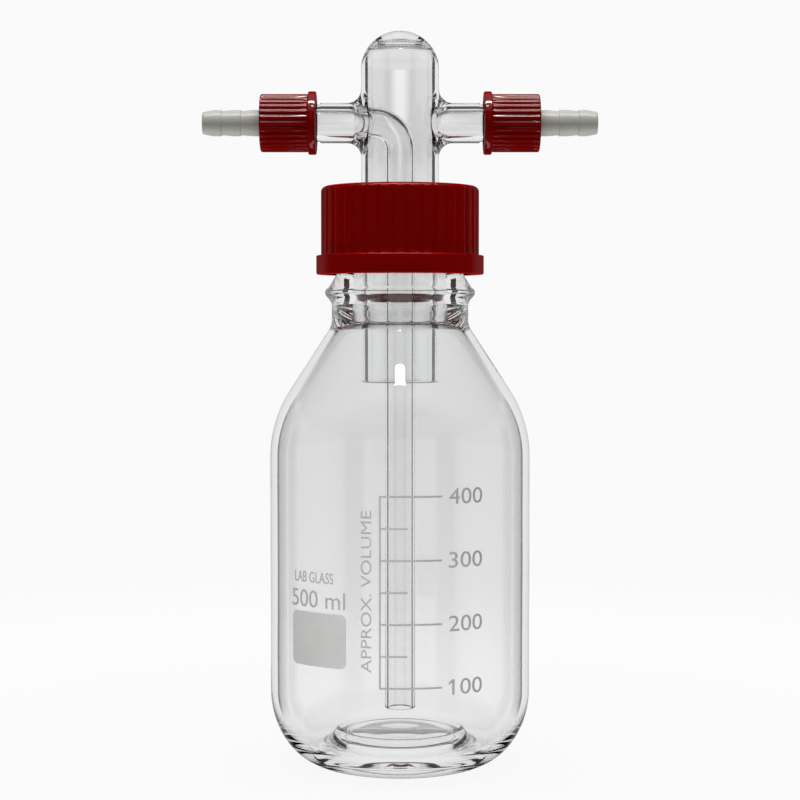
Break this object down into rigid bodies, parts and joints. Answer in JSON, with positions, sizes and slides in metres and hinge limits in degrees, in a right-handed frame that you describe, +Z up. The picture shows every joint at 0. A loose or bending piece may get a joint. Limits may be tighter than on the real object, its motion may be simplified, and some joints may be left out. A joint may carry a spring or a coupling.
{
  "type": "gas washing bottle",
  "caption": "Clear glass bottle with a red screw cap holding a one-piece glass head with a central dip tube, two side arms and screwed ribbed hose connectors.",
  "frame": {"origin": "centre of the base, on the surface that the bottle stands on", "axes": "+Z up along the bottle's axis, X along the two side arms with the outlet at +X and the inlet at -X, the printed scale faces -Y"},
  "size_m": [0.1302, 0.0861, 0.2426],
  "materials": {
    "clear_glass": "polished clear glass",
    "grey_enamel": "fired enamel print",
    "red_plastic": "moulded, glossy",
    "off_white_plastic": "moulded, satin",
    "clear_silicone": "translucent, matt",
    "white_fluoropolymer": "waxy white"
  },
  "bodies": {
    "bottle": {"bottle_glass": "clear_glass", "volume_scale": "grey_enamel", "marking_panel": "grey_enamel"},
    "rim_washer": {"rim_washer": "white_fluoropolymer"},
    "head": {"head_glass": "clear_glass", "dip_tube": "clear_glass"},
    "neck_seal": {"neck_seal": "clear_silicone"},
    "neck_cap": {"neck_cap": "red_plastic"},
    "inlet_connector": {"inlet_hose_connector": "off_white_plastic", "inlet_washer": "clear_silicone"},
    "inlet_cap": {"inlet_side_cap": "red_plastic"},
    "outlet_connector": {"outlet_hose_connector": "off_white_plastic", "outlet_washer": "clear_silicone"},
    "outlet_cap": {"outlet_side_cap": "red_plastic"}
  },
  "joints": [
    {"name": "head_lift", "type": "slide", "parent": "bottle", "child": "rim_washer", "axis": [0, 0, 1], "range_m": [0, 0.18]},
    {"name": "head_swivel", "type": "hinge", "parent": "rim_washer", "child": "head", "pos_m": [0, 0, 0.186], "axis": [0, 0, 1], "continuous": true},
    {"name": "neck_cap_rise", "type": "slide", "parent": "head", "child": "neck_seal", "axis": [0, 0, 1], "range_m": [0, 0.0062]},
    {"name": "neck_cap_turn", "type": "hinge", "parent": "neck_seal", "child": "neck_cap", "pos_m": [0, 0, 0.1895], "axis": [0, 0, 1], "range_deg": [0, 540]},
    {"name": "inlet_connector_slide", "type": "slide", "parent": "head", "child": "inlet_connector", "axis": [-1, 0, 0], "range_m": [0, 0.0076]},
    {"name": "inlet_cap_turn", "type": "hinge", "parent": "inlet_connector", "child": "inlet_cap", "pos_m": [-0.0445, 0, 0.2124], "axis": [-1, 0, 0], "range_deg": [0, 1080]},
    {"name": "outlet_connector_slide", "type": "slide", "parent": "head", "child": "outlet_connector", "axis": [1, 0, 0], "range_m": [0, 0.0076]},
    {"name": "outlet_cap_turn", "type": "hinge", "parent": "outlet_connector", "child": "outlet_cap", "pos_m": [0.0445, 0, 0.2124], "axis": [1, 0, 0], "range_deg": [0, 1080]}
  ],
  "couplings": [
    {"joint": "neck_cap_rise", "follows": "neck_cap_turn", "m_per_rad": 0.00063662},
    {"joint": "inlet_connector_slide", "follows": "inlet_cap_turn", "m_per_rad": 0.00039789},
    {"joint": "outlet_connector_slide", "follows": "outlet_cap_turn", "m_per_rad": 0.00039789}
  ]
}
